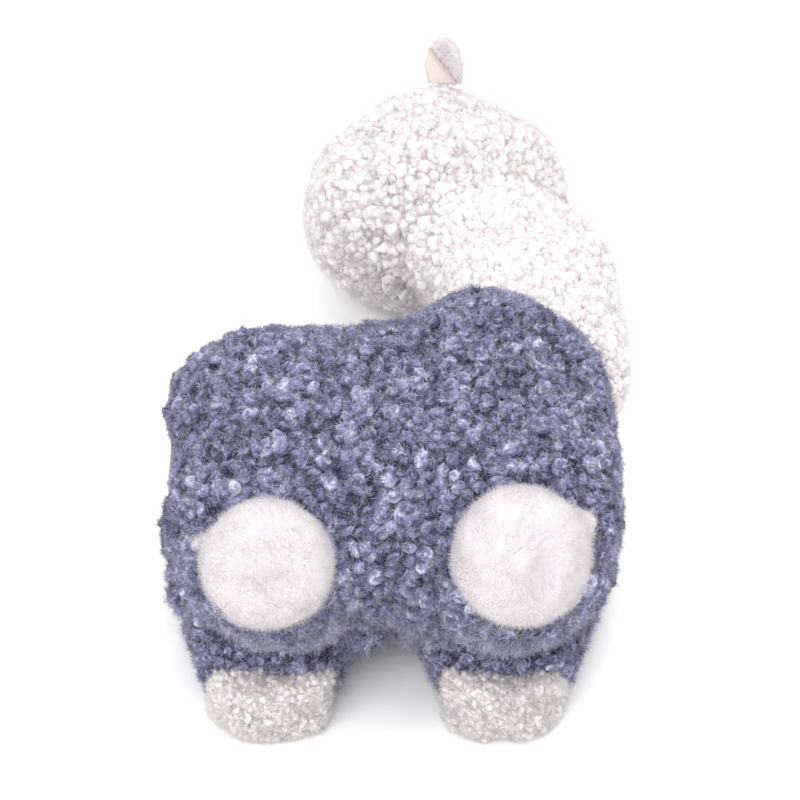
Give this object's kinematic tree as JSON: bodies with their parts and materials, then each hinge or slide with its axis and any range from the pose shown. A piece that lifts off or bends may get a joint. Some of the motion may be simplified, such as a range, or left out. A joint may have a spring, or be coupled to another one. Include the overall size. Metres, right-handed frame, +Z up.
{
  "type": "hand_puppet_plush_alpaca",
  "caption": "Curly fleece plush alpaca hand puppet lying on its left side, blue-grey body, cream head and feet, with a hand pocket in the rump",
  "frame": {"origin": "middle of the underside, on the floor the toy lies on", "axes": "+X towards the animal's chest, +Y towards its back and head, +Z up, which is the animal's right side"},
  "size_m": [0.1832, 0.3342, 0.114],
  "materials": {
    "grey_fleece": "curly pile",
    "cream_fleece": "curly pile",
    "white_plush": "short dense pile",
    "beige_velour": "velour",
    "lining_cloth": "plain weave",
    "fibre_fill": "loose fibre",
    "pink_thread": "embroidered",
    "eye_plastic": "polished",
    "washer_plastic": "moulded"
  },
  "bodies": {
    "torso": {"right_body_panel": "grey_fleece", "left_body_panel": "grey_fleece", "right_body_stuffing": "fibre_fill", "left_body_stuffing": "fibre_fill", "pocket_lining": "lining_cloth", "pocket_binding": "lining_cloth"},
    "tail": {"tail_fleece": "grey_fleece", "tail_stuffing": "fibre_fill"},
    "neck": {"neck_fleece": "cream_fleece", "neck_stuffing": "fibre_fill"},
    "head": {"head_fleece": "cream_fleece", "head_stuffing": "fibre_fill", "face_patch": "beige_velour", "muzzle": "beige_velour", "nose": "pink_thread", "mouth_stitch": "pink_thread", "right_eye": "eye_plastic", "left_eye": "eye_plastic", "right_eye_washer": "washer_plastic", "left_eye_washer": "washer_plastic"},
    "right_ear": {"right_ear_velour": "beige_velour", "right_ear_fleece": "cream_fleece"},
    "left_ear": {"left_ear_velour": "beige_velour", "left_ear_fleece": "cream_fleece"},
    "front_right_leg": {"front_right_sleeve": "grey_fleece", "front_right_foot": "white_plush", "front_right_stuffing": "fibre_fill"},
    "hind_right_leg": {"hind_right_sleeve": "grey_fleece", "hind_right_foot": "white_plush", "hind_right_stuffing": "fibre_fill"},
    "front_left_leg": {"front_left_sleeve": "grey_fleece", "front_left_foot": "white_plush", "front_left_stuffing": "fibre_fill"},
    "hind_left_leg": {"hind_left_sleeve": "grey_fleece", "hind_left_foot": "white_plush", "hind_left_stuffing": "fibre_fill"}
  },
  "joints": [
    {"name": "neck_swing", "type": "hinge", "parent": "torso", "child": "neck", "pos_m": [0.05175, -0.01006, 0.055], "axis": [0, 0, 1], "range_deg": [-15, 15], "stiffness_Nm_per_rad": 3},
    {"name": "head_nod", "type": "hinge", "parent": "neck", "child": "head", "pos_m": [0.01575, 0.10094, 0.045], "axis": [0, 0, 1], "range_deg": [-15, 15], "stiffness_Nm_per_rad": 2},
    {"name": "right_ear_flop", "type": "hinge", "parent": "head", "child": "right_ear", "pos_m": [0.01975, 0.13276, 0.08292], "axis": [0.8192, -0.4394, 0.3687], "range_deg": [-25, 25], "stiffness_Nm_per_rad": 0.05},
    {"name": "left_ear_flop", "type": "hinge", "parent": "head", "child": "left_ear", "pos_m": [0.01975, 0.14896, 0.03303], "axis": [0.8191, -0.1388, -0.5566], "range_deg": [-25, 25], "stiffness_Nm_per_rad": 0.05},
    {"name": "front_right_leg_swing", "type": "hinge", "parent": "torso", "child": "front_right_leg", "pos_m": [0.04575, -0.13206, 0.074], "axis": [0, 0.7071, 0.7071], "range_deg": [-20, 20], "stiffness_Nm_per_rad": 0.6},
    {"name": "hind_right_leg_swing", "type": "hinge", "parent": "torso", "child": "hind_right_leg", "pos_m": [-0.04825, -0.13206, 0.074], "axis": [0, 0.7071, 0.7071], "range_deg": [-20, 20], "stiffness_Nm_per_rad": 0.6},
    {"name": "front_left_leg_swing", "type": "hinge", "parent": "torso", "child": "front_left_leg", "pos_m": [0.04025, -0.12006, 0.015], "axis": [0, 0, 1], "range_deg": [-20, 20], "stiffness_Nm_per_rad": 0.6},
    {"name": "hind_left_leg_swing", "type": "hinge", "parent": "torso", "child": "hind_left_leg", "pos_m": [-0.04875, -0.12006, 0.015], "axis": [0, 0, 1], "range_deg": [-20, 20], "stiffness_Nm_per_rad": 0.6},
    {"name": "tail_flop", "type": "hinge", "parent": "torso", "child": "tail", "pos_m": [-0.07475, -0.03206, 0.061], "axis": [0, 0, 1], "range_deg": [-20, 20], "stiffness_Nm_per_rad": 0.05}
  ]
}
